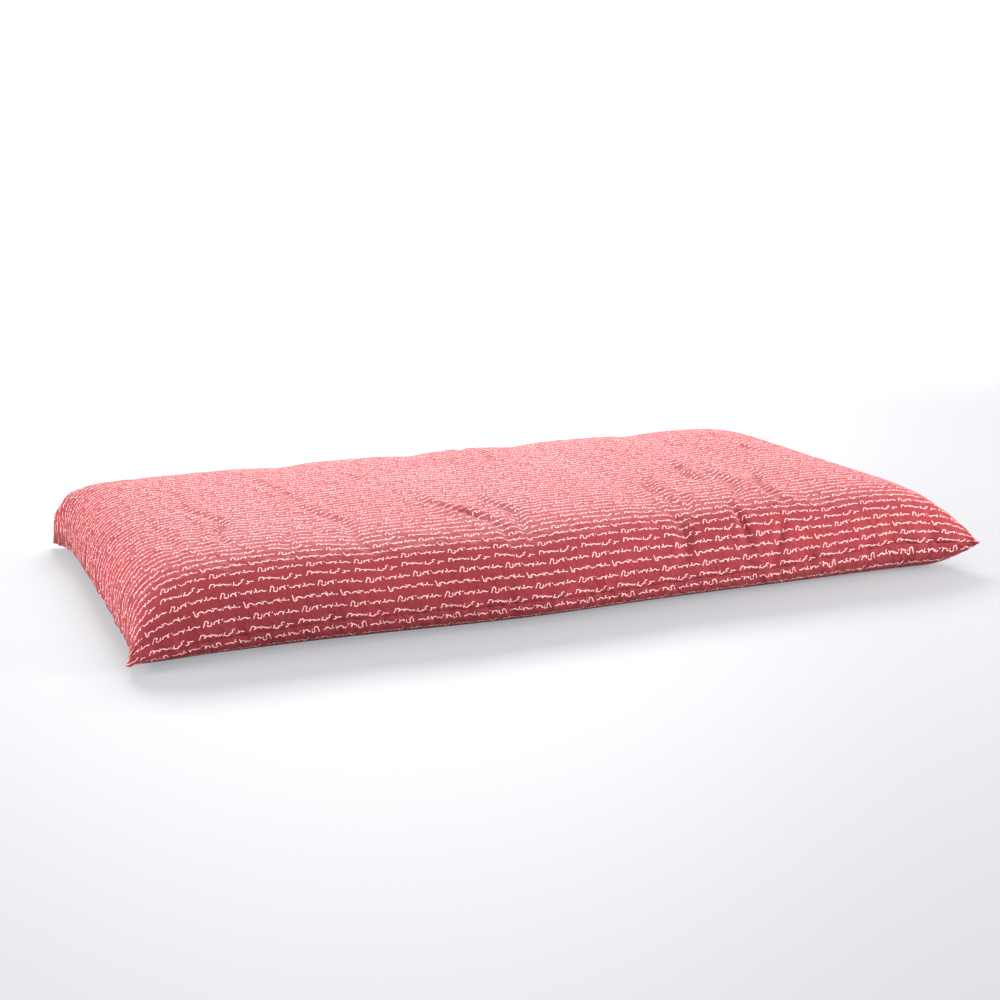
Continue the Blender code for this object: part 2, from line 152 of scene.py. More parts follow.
# Print: rows of brush marks along the length.
ROW_PITCH = 0.0255
MOTIF_REPEAT = 0.105
MARK_HALF_WIDTH = 0.00080
MARK_EDGE = (0.65, 1.35)
WAVE_EDGE = (0.70, 1.50)
ROW_TURN = 12.9
ROW_SPREAD = 43.7
HAND_SCALE = 160.0
HAND_DRIFT = 0.0016
BRUSH_SCALE = 420.0
DRY_SCALE = 900.0

# Weave and crumple.
COVER_THREAD = 0.0006
TICKING_THREAD = 0.0007
TAPE_THREAD = 0.0009
SLUB_SCALE = 130.0
BEND_SCALE = 9.0
BEND_SIZE = 0.05
BROAD_SCALE = 14.0
RIDGE_SCALE = 24.0
PATCH_SCALE = 5.0

# Zip.
TOOTH_PITCH = 0.0030
TOOTH_LENGTH = 0.0017
TOOTH_TIP_INSET = -0.0003
TOOTH_MESH = 0.0009
TOOTH_WAIST = 0.0009
TOOTH_ROUND = 0.00025
TOOTH_CORE = 0.0006
TIP_SHARE = 0.8
CORE_START = 0.6
PLATE = 0.0013
ZIP_PLAY = 0.0003
SLIDER_NOSE = 0.70
SLIDER_ROUND = 0.00045
LUG_NEAR = 0.0017
LUG_FAR = 0.0027
LUG_HALF = 0.0016
LUG_ROOT = 0.0003
LUG_ROUND = 0.0004
POST_NEAR = 0.0040
POST_FAR = 0.0012
POST_HALF = 0.0005
PIN_Y = 0.6016
PIN_RADIUS = 0.0006
PULL_THICKNESS = 0.0014
PULL_NECK = 0.0060
PULL_NECK_HALF = 0.0009
NECK_OVERLAP = 0.001
PULL_EYE = 0.0012
PULL_EYE_WIRE = 0.00055
PULL_CORNER = 0.0018
PULL_RIBS = 5
RIB_START = 0.0030
RIB_PITCH = 0.0018
RIB_WIDTH = 0.0007
RIB_INSET = 0.0014
OVERLAP = 0.0002
SMOOTH_ANGLE = math.radians(35.0)

# Finishes, as linear colours.
WHITE = (1.0, 1.0, 1.0, 1.0)
BLACK = (0.0, 0.0, 0.0, 1.0)
COTTON_SPECULAR = 0.20
SHEEN = 0.10
SHEEN_TINT = (1.0, 0.45, 0.48, 1.0)
SHEEN_ROUGHNESS = 0.45
CRIMSON = (0.200, 0.0200, 0.0270, 1.0)
CRIMSON_WORN = (0.245, 0.028, 0.036, 1.0)
CRIMSON_WARP = (0.310, 0.050, 0.060, 1.0)
CREAM = (0.960, 0.610, 0.590, 1.0)
CREAM_WARP = (0.760, 0.560, 0.480, 1.0)
BRASS = (0.640, 0.480, 0.240, 1.0)
BRASS_DARK = (0.330, 0.230, 0.110, 1.0)
TEETH_RED = (0.260, 0.018, 0.030, 1.0)
TEETH_RED_WORN = (0.330, 0.034, 0.048, 1.0)
TAPE_RED = (0.240, 0.016, 0.028, 1.0)
TAPE_RED_WARP = (0.330, 0.034, 0.048, 1.0)
TICKING = (0.640, 0.570, 0.440, 1.0)
TICKING_WARP = (0.720, 0.660, 0.540, 1.0)
TICKING_STRIPE = (0.120, 0.170, 0.260, 1.0)
STRIPE_PITCH = 0.012
STRIPE_SHARE = 0.10
BATTING = (0.780, 0.740, 0.640, 1.0)
BATTING_DARK = (0.620, 0.570, 0.460, 1.0)
FELT = (0.420, 0.370, 0.290, 1.0)
FELT_DARK = (0.300, 0.260, 0.200, 1.0)
TWINE = (0.620, 0.520, 0.340, 1.0)
TWINE_DARK = (0.440, 0.350, 0.210, 1.0)

# Studio.
FLOOR_SIZE = 60.0
FLOOR_LEVEL = -0.0004
FLOOR_NEAR = 2.5
FLOOR_FAR = 6.5
FLOOR_PALE = (0.165, 0.165, 0.172, 1.0)
FLOOR_GLOW = (0.340, 0.345, 0.365, 1.0)
FLOOR_BOUNCE = (0.36, 0.36, 0.37, 1.0)
WORLD_STRENGTH = 1.02
BACKDROP_STRENGTH = 1.0
LIGHTS = (
    ("back_panel", (1.0, 4.0, 2.8), (0.0, 0.0, 0.1), (3.6, 1.4), 480.0, (1.0, 0.99, 0.98)),
    ("left_panel", (-4.4, 0.0, 1.7), (-0.8, 0.0, 0.1), (2.0, 1.4), 250.0, (1.0, 0.99, 0.98)),
    ("right_fill", (3.2, -2.4, 1.2), (0.7, -0.4, 0.1), (1.6, 1.0), 230.0, (1.0, 0.97, 0.96)),
)
CAMERA_PLACE = (-1.537, -4.273, 1.116)
CAMERA_YAW = 20.073
CAMERA_PITCH = 12.013
CAMERA_ROLL = -1.362
CAMERA_LENS = 65.9


# ---- helpers


def deselect_all():
    for thing in list(bpy.context.selected_objects):
        thing.select_set(False)


def make_active(thing):
    deselect_all()
    thing.select_set(True)
    bpy.context.view_layer.objects.active = thing


def apply_modifiers(thing):
    make_active(thing)
    for modifier in list(thing.modifiers):
        bpy.ops.object.modifier_apply(modifier=modifier.name)


def edit_all(thing, tool, **settings):
    """Runs one mesh tool on the whole of a mesh."""
    make_active(thing)
    bpy.ops.object.mode_set(mode="EDIT")
    bpy.ops.mesh.select_all(action="SELECT")
    tool(**settings)
    bpy.ops.object.mode_set(mode="OBJECT")


def coordinates(mesh):
    flat = np.empty(len(mesh.vertices) * 3)
    mesh.vertices.foreach_get("co", flat)
    return flat.reshape(-1, 3)


def set_coordinates(mesh, points):
    mesh.vertices.foreach_set("co", np.ascontiguousarray(points, np.float32).ravel())
    mesh.update()


def smooth_step(value, low, high):
    share = np.clip((value - low) / (high - low), 0.0, 1.0)
    return share * share * (3.0 - 2.0 * share)


def hump(value, middle, spread):
    return np.exp(-(((value - middle) / spread) ** 2))


# ---- shape of the cover


def section_table(half, squareness, rise):
    """Places (share of half) along a half section and the cloth length from the crown to each."""
    share = 1.0 - (1.0 - np.linspace(0.0, 1.0, 4001)) ** 3
    height = rise * np.maximum(0.0, 1.0 - share**squareness) ** SHOULDER_POWER
    step = np.hypot(np.diff(share * half), np.diff(height))
    return share, np.concatenate(([0.0], np.cumsum(step)))


def tucked_corner(along, across, start=TUCK_START):
    """How near a place is to the back left corner, whose ear is tucked under past the zip's end."""
    return smooth_step(-along, start, TUCK_END) * smooth_step(across, TUCK_SIDE_START, TUCK_END)


def seam_height(x, across):
    front = np.interp(x, FRONT_SEAM_STATIONS, FRONT_SEAM_HEIGHTS)
    back = SEAM - BACK_CORNER_DROP * np.abs(x / HALF_LENGTH) ** EAR_SHARPNESS
    back = back - TUCKED_DROP * tucked_corner(x / HALF_LENGTH, across)
    share = smooth_step(across, *FRONT_SEAM_FADE)
    return front * (1.0 - share) + back * share


def plan(along, across):
    reach = EAR_REACH * (np.abs(along) * np.abs(across)) ** EAR_SHARPNESS
    reach = reach - TUCKED_REACH * tucked_corner(along, across)
    x = along * HALF_LENGTH + np.sign(along) * reach
    y = across * HALF_WIDTH + np.sign(across) * reach
    bulge = FRONT_BULGE * hump(x, FRONT_BULGE_MIDDLE, FRONT_BULGE_SPREAD)
    return x, y - bulge * smooth_step(-across, *FRONT_BULGE_FADE)


def valley_depth(x, across):
    depth = np.zeros_like(x)
    for number, middle in enumerate(VALLEYS):
        lean = VALLEY_LEAN * np.sin(VALLEY_TURN * across + number)
        depth = depth + VALLEY_DEPTH * hump(x, middle + lean, VALLEY_WIDTH)
    return depth * (VALLEY_AT_MIDDLE + VALLEY_GROWTH * np.abs(across) ** 1.5)


def top_height(x, along, across):
    low = seam_height(x, across)
    full = np.maximum(0.0, 1.0 - np.abs(along) ** LENGTH_SQUARENESS) ** SHOULDER_POWER
    full = full * np.maximum(0.0, 1.0 - np.abs(across) ** WIDTH_SQUARENESS) ** SHOULDER_POWER
    full = full ** (1.0 - TUCKED_FULLNESS * tucked_corner(along, across, LEAN_START))
    crown = CROWN - valley_depth(x, across)
    return low + (crown - low) * full


def under_height(along, across, low):
    down = np.ones_like(low)
    for inset in ((1.0 - np.abs(along)) * HALF_LENGTH, (1.0 - np.abs(across)) * HALF_WIDTH):
        down = down * (1.0 - np.maximum(0.0, 1.0 - inset / UNDERSIDE_TUCK) ** UNDERSIDE_POWER)
    return UNDERSIDE_REST + (low - UNDERSIDE_REST) * (1.0 - down**SHOULDER_POWER)


def cloth_grid(name, columns, rows, half_length, half_width):
    """A flat rectangle of cloth, cut to size."""
    deselect_all()
    bpy.ops.mesh.primitive_grid_add(x_subdivisions=columns, y_subdivisions=rows, size=2.0)
    cloth = bpy.context.object
    cloth.name = name
    cloth.data.name = name
    flat = coordinates(cloth.data)
    flat[:, 0] *= half_length
    flat[:, 1] *= half_width
    set_coordinates(cloth.data, flat)
    return cloth


def write_cloth_uv(cloth, flat, turned):
    """The print follows the flat cut, in metres; the underside is cut turned end for end."""
    layer = cloth.data.uv_layers.active or cloth.data.uv_layers.new(name="flat_cut")
    layer.name = "flat_cut"
    corner = np.empty(len(cloth.data.loops), int)
    cloth.data.loops.foreach_get("vertex_index", corner)
    uv = (-flat if turned else flat)[corner][:, :2]
    layer.data.foreach_set("uv", np.ascontiguousarray(uv, np.float32).ravel())


def hold_share(x, along, across):
    """How firmly the filling holds the cloth: most on the flat of the top, least on the sides."""
    from_side = np.minimum((1.0 - np.abs(along)) * HALF_LENGTH, (1.0 - np.abs(across)) * HALF_WIDTH)
    held = SIDE_HOLD + (TOP_HOLD - SIDE_HOLD) * smooth_step(from_side, *HOLD_FADE)
    on_zip = (across > ON_SEAM) & (np.abs(x) < HEM_END + HEM_EASE)
    held = np.where((np.abs(along) > ON_SEAM) | (np.abs(across) > ON_SEAM), SEAM_HOLD, held)
    return np.round(np.where(on_zip, 1.0, held), 2)


def insets(flat, half_sizes):
    """How far in from the ends and from the sides each place on the cut lies."""
    return [np.maximum(0.0, half_sizes[axis] - np.abs(flat[:, axis])) for axis in (0, 1)]


def extra_share(x, flat, half_sizes):
    """Where the cover is roomier than the filling: at the corners, the seam and the valleys."""
    from_end, from_side = insets(flat, half_sizes)
    corner = (1.0 - smooth_step(from_end, 0.02, 0.30)) * (1.0 - smooth_step(from_side, 0.02, 0.30))
    seam = 1.0 - smooth_step(np.minimum(from_end, from_side), 0.0, 0.12)
    valleys = sum(hump(x, middle, VALLEY_WIDTH) for middle in VALLEYS)
    extra = EXTRA_ON_TOP + EXTRA_AT_SEAM * seam + EXTRA_AT_VALLEYS * valleys + corner
    return np.round(np.clip(extra, 0.0, 1.0), 2)


def weight_group(thing, name, shares):
    group = thing.vertex_groups.new(name=name)
    for share in np.unique(shares):
        group.add(np.flatnonzero(shares == share).tolist(), float(share), "REPLACE")


def settle_cloth(cloth, start, held, extra):
    """The cloth finds its own puckers: it lies on the filling and is cut roomier than the filling."""
    make_active(cloth)
    random = np.random.default_rng(RUFFLE_SEED)
    ruffled = start + random.normal(0.0, RUFFLE, start.shape) * (held < 1.0)[:, None]
    set_coordinates(cloth.data, ruffled)
    weight_group(cloth, "held", held)
    weight_group(cloth, "extra", extra)
    drape = cloth.modifiers.new("drape", "CLOTH")
    drape.settings.quality = 6
    drape.settings.mass = 0.25
    drape.settings.tension_stiffness = 20.0
    drape.settings.compression_stiffness = 20.0
    drape.settings.shear_stiffness = 6.0
    drape.settings.bending_stiffness = BENDING
    drape.settings.air_damping = 2.0
    drape.settings.use_pressure = True
    drape.settings.uniform_pressure_force = PRESSURE
    drape.settings.effector_weights.gravity = 0.0
    drape.settings.vertex_group_mass = "held"
    drape.settings.pin_stiffness = PIN_STIFFNESS
    drape.settings.vertex_group_shrink = "extra"
    drape.settings.shrink_min = 0.0
    drape.settings.shrink_max = -MOST_EXTRA
    drape.point_cache.frame_start = 1
    drape.point_cache.frame_end = SETTLE_FRAMES
    for moment in range(1, SETTLE_FRAMES + 1):
        bpy.context.scene.frame_set(moment)
    settled = cloth.evaluated_get(bpy.context.evaluated_depsgraph_get())
    points = coordinates(settled.data)
    cloth.modifiers.remove(drape)
    cloth.vertex_groups.clear()
    bpy.context.scene.frame_set(1)
    moved = points - start
    length = np.linalg.norm(moved, axis=1, keepdims=True)
    return start + moved * np.minimum(1.0, MOST_MOVED / np.maximum(length, 1e-9))


def evened(moved, order, rows, columns):
    """Evens out movement from one grid point to the next, and keeps the border where it is."""
    grid = moved[order].reshape(rows, columns, 3)
    for _ in range(EVEN_TIMES):
        near = grid[:-2, 1:-1] + grid[2:, 1:-1] + grid[1:-1, :-2] + grid[1:-1, 2:]
        grid[1:-1, 1:-1] = 0.5 * grid[1:-1, 1:-1] + 0.125 * near
    result = np.empty_like(moved)
    result[order] = grid.reshape(-1, 3)
    return result


def station_places(half, squareness, rise):
    """Evenly spaced places along the cut, as (share of half along the plan, place on the cut)."""
    share, length = section_table(half, squareness, rise)
    steps = round(length[-1] / CLOTH_STEP)
    cut = np.linspace(-length[-1], length[-1], 2 * steps + 1)
    return np.sign(cut) * np.interp(np.abs(cut), length, share), cut


def crease_depth(flat):
    """Depth that the creases press into the cloth: each is a trough with a low ridge on either side."""
    random = np.random.default_rng(CREASE_SEED)
    faint = []
    for _ in range(FAINT_CREASES):
        x, y = random.uniform(-0.98, 0.98), random.uniform(-0.60, 0.50)
        length, lean = random.uniform(0.10, 0.34), random.uniform(-0.05, 0.03)
        deep, wide = random.uniform(1.2, 3.6), random.uniform(10.0, 18.0)
        faint.append((x, y, x + lean, y - length, deep, wide))
    depth = np.zeros(len(flat))
    for x0, y0, x1, y1, deep, wide in CREASES + tuple(faint):
        run = np.array((x1 - x0, y1 - y0))
        length = np.linalg.norm(run)
        run = run / length
        away = flat[:, :2] - (x0, y0)
        along = away @ run
        bend = CREASE_BEND * np.sin(along * CREASE_WAVES + CREASE_SCATTER * x0)
        aside = (away @ (run[1], -run[0]) + bend) / (0.001 * wide)
        taper = smooth_step(along, -CREASE_END, 0.3 * length)
        taper *= 1.0 - smooth_step(along, 0.6 * length, length + CREASE_END)
        ridge = hump(aside, RIDGE_PLACE, 1.0) + FAR_RIDGE_SHARE * hump(aside, -RIDGE_PLACE, 1.0)
        depth += 0.001 * deep * taper * (hump(aside, 0.0, 1.0) - RIDGE_SHARE * ridge)
    return depth


def seam_puckers(flat, half_sizes):
    """Short gathers that run in from the seam, deepest at it, and deeper towards the corners."""
    from_end, from_side = insets(flat, half_sizes)
    random = np.random.default_rng(PUCKER_SEED)
    depth = np.zeros(len(flat))
    for axis, inset in enumerate((from_side, from_end)):
        run, half = flat[:, axis], half_sizes[axis]
        waves = np.zeros(len(flat))
        for _ in range(PUCKER_WAVES):
            pitch, phase = random.uniform(0.035, 0.110), random.uniform(0.0, 2.0 * math.pi)
            slow = random.uniform(0.3, 0.9)
            swell = np.sin(2.0 * math.pi * run / slow + phase)
            waves += np.sin(2.0 * math.pi * run / pitch + phase) * swell
        waves *= PUCKER_WAVE_SHARE
        reach = PUCKER_REACH * (1.0 + 0.8 * np.abs(run / half) ** 6)
        strength = PUCKER_DEPTH * (1.0 + 2.5 * np.abs(run / half) ** 10)
        depth += strength * waves * np.exp(-((inset / reach) ** 1.3)) * smooth_step(inset, -0.001, 0.012)
    return depth


def press_creases(cloth, points, flat, half_sizes):
    """The creases and puckers pressed into the cloth along its normals, except beside the zip."""
    set_coordinates(cloth.data, points)
    normals = np.empty(len(points) * 3)
    cloth.data.vertex_normals.foreach_get("vector", normals)
    depth = crease_depth(flat) + seam_puckers(flat, half_sizes)
    from_zip = smooth_step(np.abs(points[:, 2] - ZIP_Z), *SMOOTH_BY_ZIP)
    by_zip = (points[:, 1] > 0.5 * HALF_WIDTH) * (1.0 - from_zip)
    return points - normals.reshape(-1, 3) * (depth * (1.0 - by_zip))[:, None]


# ---- cover


def follow_seam(points, moved):
    """The underside's rim follows the seam where the top has settled, less and less inwards."""
    rows, columns, _ = points.shape
    row, column = np.mgrid[0:rows, 0:columns]
    sides = (
        (row, moved[:1]),
        (rows - 1 - row, moved[-1:]),
        (column, moved[:, :1]),
        (columns - 1 - column, moved[:, -1:]),
    )
    weight_sum = np.zeros((rows, columns))
    offset = np.zeros_like(points)
    nearest = np.full((rows, columns), rows + columns)
    for away, shift in sides:
        weight = 1.0 / (away + 1e-6) ** 2
        offset += weight[:, :, None] * shift
        weight_sum += weight
        nearest = np.minimum(nearest, away)
    fade = 1.0 - smooth_step(nearest.astype(float), 0.0, RIM_RINGS)
    return points + offset / weight_sum[:, :, None] * fade[:, :, None]


def open_hem(points, side):
    """Along the zip the two panels part by the hem gap: side is 1 for the top, -1 for the underside."""
    away = np.abs(points[:, 2] - ZIP_Z) + np.maximum(0.0, HALF_WIDTH - points[:, 1])
    near = (1.0 - smooth_step(away, 0.0, HEM_SPREAD)) * (points[:, 1] > 0.5 * HALF_WIDTH)
    ease = 1.0 - smooth_step(np.abs(points[:, 0]), HEM_END, HEM_END + HEM_EASE)
    points[:, 2] += side * HEM_GAP * near * ease
    return points


def underside_flat(points):
    """Flat cut of the underside, from the cloth's length along its two middle lines."""
    rows, columns, _ = points.shape
    places = []
    for line in (points[rows // 2], points[:, columns // 2]):
        length = np.concatenate(([0.0], np.cumsum(np.linalg.norm(np.diff(line, axis=0), axis=1))))
        places.append(length - 0.5 * length[-1])
    flat = np.zeros_like(points)
    flat[:, :, 0] = places[0][None, :]
    flat[:, :, 1] = places[1][:, None]
    return flat


def merge_flat_of_underside(cloth, along, across):
    """The resting flat of the underside needs no mesh lines of its own."""
    make_active(cloth)
    inner = (np.abs(along) < RESTING_FLAT[0]) & (np.abs(across) < RESTING_FLAT[1])
    for edge in cloth.data.edges:
        edge.select = False
    for vertex in cloth.data.vertices:
        vertex.select = bool(inner[vertex.index])
    for face in cloth.data.polygons:
        face.select = all(inner[index] for index in face.vertices)
    bpy.ops.object.mode_set(mode="EDIT")
    bpy.ops.mesh.select_mode(type="FACE")
    bpy.ops.mesh.dissolve_faces()
    bpy.ops.object.mode_set(mode="OBJECT")


def finish_panel(cloth, material):
    """Thickens the cloth inwards and gives it its material."""
    cloth.data.shade_smooth()
    thicken = cloth.modifiers.new("thickness", "SOLIDIFY")
    thicken.thickness = CLOTH_THICKNESS
    thicken.offset = -1.0
    apply_modifiers(cloth)
    cloth.data.materials.clear()
    cloth.data.materials.append(material)


def cut_places():
    """The top's cut: (columns, rows, half sizes, plan shares of each column, and of each row)."""
    share_x, cut_x = station_places(HALF_LENGTH, LENGTH_SQUARENESS, CROWN - SEAM)
    share_y, cut_y = station_places(HALF_WIDTH, WIDTH_SQUARENESS, CROWN - SEAM)
    return len(cut_x), len(cut_y), (cut_x[-1], cut_y[-1]), share_x, share_y


def grid_places(flat, half_sizes, counts):
    """Column and row number of each vertex of a flat grid."""
    shares = (flat[:, :2] / half_sizes + 1.0) * 0.5
    return np.rint(shares * (np.array(counts) - 1)).astype(int).T


def cover_panels(material):
    """The two panels of the cover: (top cloth, its flat size, underside cloth, its flat size)."""
    columns, rows, half_sizes, share_x, share_y = cut_places()
    top = cloth_grid("cover_top", columns - 1, rows - 1, *half_sizes)
    flat = coordinates(top.data)
    column, row = grid_places(flat, half_sizes, (columns, rows))
    along, across = share_x[column], share_y[row]
    order = np.lexsort((column, row))
    x, y = plan(along, across)
    start = np.stack((x, y, top_height(x, along, across)), axis=1)
    write_cloth_uv(top, flat, False)
    points = press_creases(top, start, flat, half_sizes)
    held = hold_share(x, along, across)
    settled = settle_cloth(top, points, held, extra_share(x, flat, half_sizes))
    points = points + evened(settled - points, order, rows, columns)
    points[:, 2] = np.maximum(points[:, 2], UNDERSIDE_REST)
    moved = points - start
    set_coordinates(top.data, open_hem(points, 1.0))
    finish_panel(top, material)

    under = cloth_grid("cover_underside", columns - 1, rows - 1, 1.0, 1.0)
    base = np.stack((x, y, under_height(along, across, seam_height(x, across))), axis=1)
    by_grid = (rows, columns, 3)
    shifted = follow_seam(base[order].reshape(by_grid), moved[order].reshape(by_grid))
    shifted[:, :, 2] = np.maximum(shifted[:, :, 2], UNDERSIDE_REST)
    under_flat = underside_flat(shifted)
    back_order = np.argsort(order)
    set_coordinates(under.data, open_hem(shifted.reshape(-1, 3)[back_order], -1.0))
    write_cloth_uv(under, under_flat.reshape(-1, 3)[back_order], True)
    merge_flat_of_underside(under, along, across)
    edit_all(under, bpy.ops.mesh.flip_normals)
    finish_panel(under, material)
    sizes = (2.0 * half_sizes[1], 2.0 * half_sizes[0])
    under_sizes = (2.0 * under_flat[-1, 0, 1], 2.0 * under_flat[0, -1, 0])
    return top, sizes, under, under_sizes


# ---- shader building


class Graph:
    """Adds nodes to one tree and links them, left to right."""

    def __init__(self, tree):
        self.tree = tree
        self.count = 0

    def node(self, kind, **settings):
        made = self.tree.nodes.new(kind)
        made.location = (180.0 * (self.count % 12), -220.0 * (self.count // 12))
        self.count += 1
        for name, value in settings.items():
            setattr(made, name, value)
        return made

    def feed(self, socket, value):
        if isinstance(value, bpy.types.NodeSocket):
            self.tree.links.new(value, socket)
        else:
            socket.default_value = value

    def filled(self, kind, values, **settings):
        """A new node's outputs, with its inputs fed in their order."""
        made = self.node(kind, **settings)
        for socket, value in zip(made.inputs, values):
            self.feed(socket, value)
        return made.outputs

    def named(self, made, **values):
        """A node's outputs, with its inputs fed by name."""
        for name, value in values.items():
            self.feed(made.inputs[name], value)
        return made.outputs

    def math(self, operation, *values, clamp=False):
        return self.filled("ShaderNodeMath", values, operation=operation, use_clamp=clamp)[0]

    def times(self, first, second):
        return self.math("MULTIPLY", first, second)

    def plus(self, first, second):
        return self.math("ADD", first, second)

    def minus(self, first, second):
        return self.math("SUBTRACT", first, second)

    def vector(self, operation, *values):
        made = self.filled("ShaderNodeVectorMath", values, operation=operation)
        return made["Value" if operation in ("DOT_PRODUCT", "LENGTH", "DISTANCE") else "Vector"]

    def scaled(self, vector, scale):
        made = self.node("ShaderNodeVectorMath", operation="SCALE")
        return self.named(made, Vector=vector, Scale=scale)["Vector"]

    def join(self, x, y, z=0.0):
        return self.filled("ShaderNodeCombineXYZ", (x, y, z))[0]

    def split(self, vector):
        return self.filled("ShaderNodeSeparateXYZ", (vector,))

    def fade(self, value, low, high, to_low=0.0, to_high=1.0):
        settings = (value, low, high, to_low, to_high)
        return self.filled("ShaderNodeMapRange", settings, interpolation_type="SMOOTHSTEP")[0]

    def noise_node(self, vector, scale, detail=2.0, roughness=0.5, dimensions="3D"):
        made = self.node("ShaderNodeTexNoise", noise_dimensions=dimensions)
        return self.named(made, Vector=vector, Scale=scale, Detail=detail, Roughness=roughness)

    def noise(self, *settings):
        return self.noise_node(*settings)[0]

    def object_place(self):
        return self.node("ShaderNodeTexCoord").outputs["Object"]

    def mix(self, share, first, second):
        made = self.node("ShaderNodeMix", data_type="RGBA")
        for socket, value in zip((made.inputs[0], *made.inputs[6:8]), (share, first, second)):
            self.feed(socket, value)
        return made.outputs[2]

    def place(self, group, **values):
        return self.named(self.node("ShaderNodeGroup", node_tree=group), **values)

    def bump(self, height, strength, distance, **normal):
        made = self.node("ShaderNodeBump")
        return self.named(made, Height=height, Strength=strength, Distance=distance, **normal)[0]


SOCKETS = {"v": "NodeSocketVector", "f": "NodeSocketFloat", "c": "NodeSocketColor"}


def shader_group(name, takes, gives):
    """An empty node group with named sockets: takes and gives are {"Name": kind letter}."""
    tree = bpy.data.node_groups.new(name, "ShaderNodeTree")
    for label, kind in takes.items():
        tree.interface.new_socket(name=label, in_out="INPUT", socket_type=SOCKETS[kind])
    for label, kind in gives.items():
        tree.interface.new_socket(name=label, in_out="OUTPUT", socket_type=SOCKETS[kind])
    graph = Graph(tree)
    return graph, graph.node("NodeGroupInput").outputs, graph.node("NodeGroupOutput").inputs


def mark_group(name, takes):
    """An empty group for one kind of brush mark, with sockets for its sizes."""
    return shader_group(name, {"Place": "v", "Half_Width": "f", **takes}, {"Mask": "f"})


def stroke(graph, gap, half, edge):
    """A soft-edged stroke, from the distance to its middle line."""
    return graph.fade(gap, graph.times(half, edge[0]), graph.times(half, edge[1]), 1.0, 0.0)


def bar_mark_group():
    """A straight brush mark between two points."""
    graph, given, result = mark_group("bar_mark", {"From": "v", "To": "v"})
    away = graph.vector("SUBTRACT", given["Place"], given["From"])
    run = graph.vector("SUBTRACT", given["To"], given["From"])
    along = graph.vector("DOT_PRODUCT", away, run)
    reach = graph.math("DIVIDE", along, graph.vector("DOT_PRODUCT", run, run), clamp=True)
    gap = graph.vector("DISTANCE", away, graph.scaled(run, reach))
    graph.feed(result["Mask"], stroke(graph, gap, given["Half_Width"], MARK_EDGE))
    return graph.tree


def loop_mark_group():
    """A ring, or an arch of one: only what lies on the facing side of the cut is kept."""
    takes = {"Middle": "v", "Squash": "v", "Facing": "v", "Radius": "f", "Cut": "f"}
    graph, given, result = mark_group("loop_mark", takes)
    away = graph.vector("SUBTRACT", given["Place"], given["Middle"])
    away = graph.vector("MULTIPLY", away, given["Squash"])
    gap = graph.math("ABSOLUTE", graph.minus(graph.vector("LENGTH", away), given["Radius"]))
    line = stroke(graph, gap, given["Half_Width"], MARK_EDGE)
    ahead = graph.vector("DOT_PRODUCT", away, given["Facing"])
    kept = graph.math("GREATER_THAN", ahead, graph.times(given["Cut"], given["Radius"]))
    graph.feed(result["Mask"], graph.times(line, kept))
    return graph.tree


def wave_mark_group():
    """A run of small waves along a row."""
    takes = {"Start": "f", "End": "f", "Level": "f", "Height": "f", "Pitch": "f"}
    graph, given, result = mark_group("wave_mark", takes)
    x, y, _ = graph.split(given["Place"])
    waves = graph.math("DIVIDE", graph.minus(x, given["Start"]), given["Pitch"])
    swing = graph.math("SINE", graph.times(waves, 2.0 * math.pi))
    rise = graph.plus(given["Level"], graph.times(given["Height"], swing))
    line = stroke(graph, graph.math("ABSOLUTE", graph.minus(y, rise)), given["Half_Width"], WAVE_EDGE)
    after_start = graph.math("GREATER_THAN", x, given["Start"])
    inside = graph.times(after_start, graph.math("LESS_THAN", x, given["End"]))
    graph.feed(result["Mask"], graph.times(line, inside))
    return graph.tree


# The three row designs, from brush marks in millimetres on one repeat of 105 mm: bar (x, y, x, y),
# loop (x, y, radius, squash, facing x, facing y, cut), wave (start, end, level, height, pitch).
CURVED_ROW = (
    ("bar", (3, -5, 6.5, 3)),
    ("loop", (9.5, 2.2, 3.6, 0.9, 1, 1, -0.1)),
    ("loop", (16, -2.6, 3.4, 0.8, 0, -1, 0.0)),
    ("bar", (20.5, -1, 21, 1.6)),
    ("bar", (24, -2.8, 26.5, -2.2)),
    ("loop", (31, -2.4, 4.4, 0.8, 0.4, 1, -0.1)),
    ("loop", (38.5, 0.6, 3.2, 1.0, -1, 0.2, 0.1)),
    ("bar", (43, 2.6, 44, 3.4)),
    ("wave", (46, 57, -2.0, 1.3, 5.6)),
    ("loop", (62, -2.8, 4.0, 0.7, 0, 1, 0.1)),
    ("bar", (67.5, -4.6, 70.5, 2.4)),
    ("loop", (76, 1.6, 3.6, 0.9, 1, -0.6, 0.0)),
    ("bar", (81, -3, 84.5, -2.2)),
    ("loop", (90, -3, 3.4, 0.7, 0, 1, 0.1)),
    ("bar", (95, -2.2, 100, -1.6)),
)
ARCHED_ROW = (
    ("bar", (4, 6, 7, -3.4)),
    ("loop", (10.2, -2.6, 3.4, 0.9, 0, -1, 0.0)),
    ("loop", (18, -3.4, 4.8, 0.7, 0, 1, 0.15)),
    ("bar", (25, -2.4, 25.8, -2)),
    ("bar", (28.6, -2.4, 29.4, -2)),
    ("loop", (36, -3.2, 4.2, 0.7, 0, 1, 0.15)),
    ("bar", (42.6, 3, 43.4, 3.4)),
    ("loop", (49, -1.2, 3.6, 0.9, -0.6, 1, 0.0)),
    ("wave", (54, 66, -2.2, 1.3, 5.8)),
    ("loop", (72, -2.0, 4.4, 0.8, 0.2, 1, 0.2)),
    ("bar", (78, 4.6, 81, -3.6)),
    ("loop", (86, 2.4, 3.6, 0.9, 0.6, -1, 0.15)),
    ("bar", (91, -2.2, 94.5, -1.6)),
    ("bar", (98, -2.6, 101, -2.0)),
)
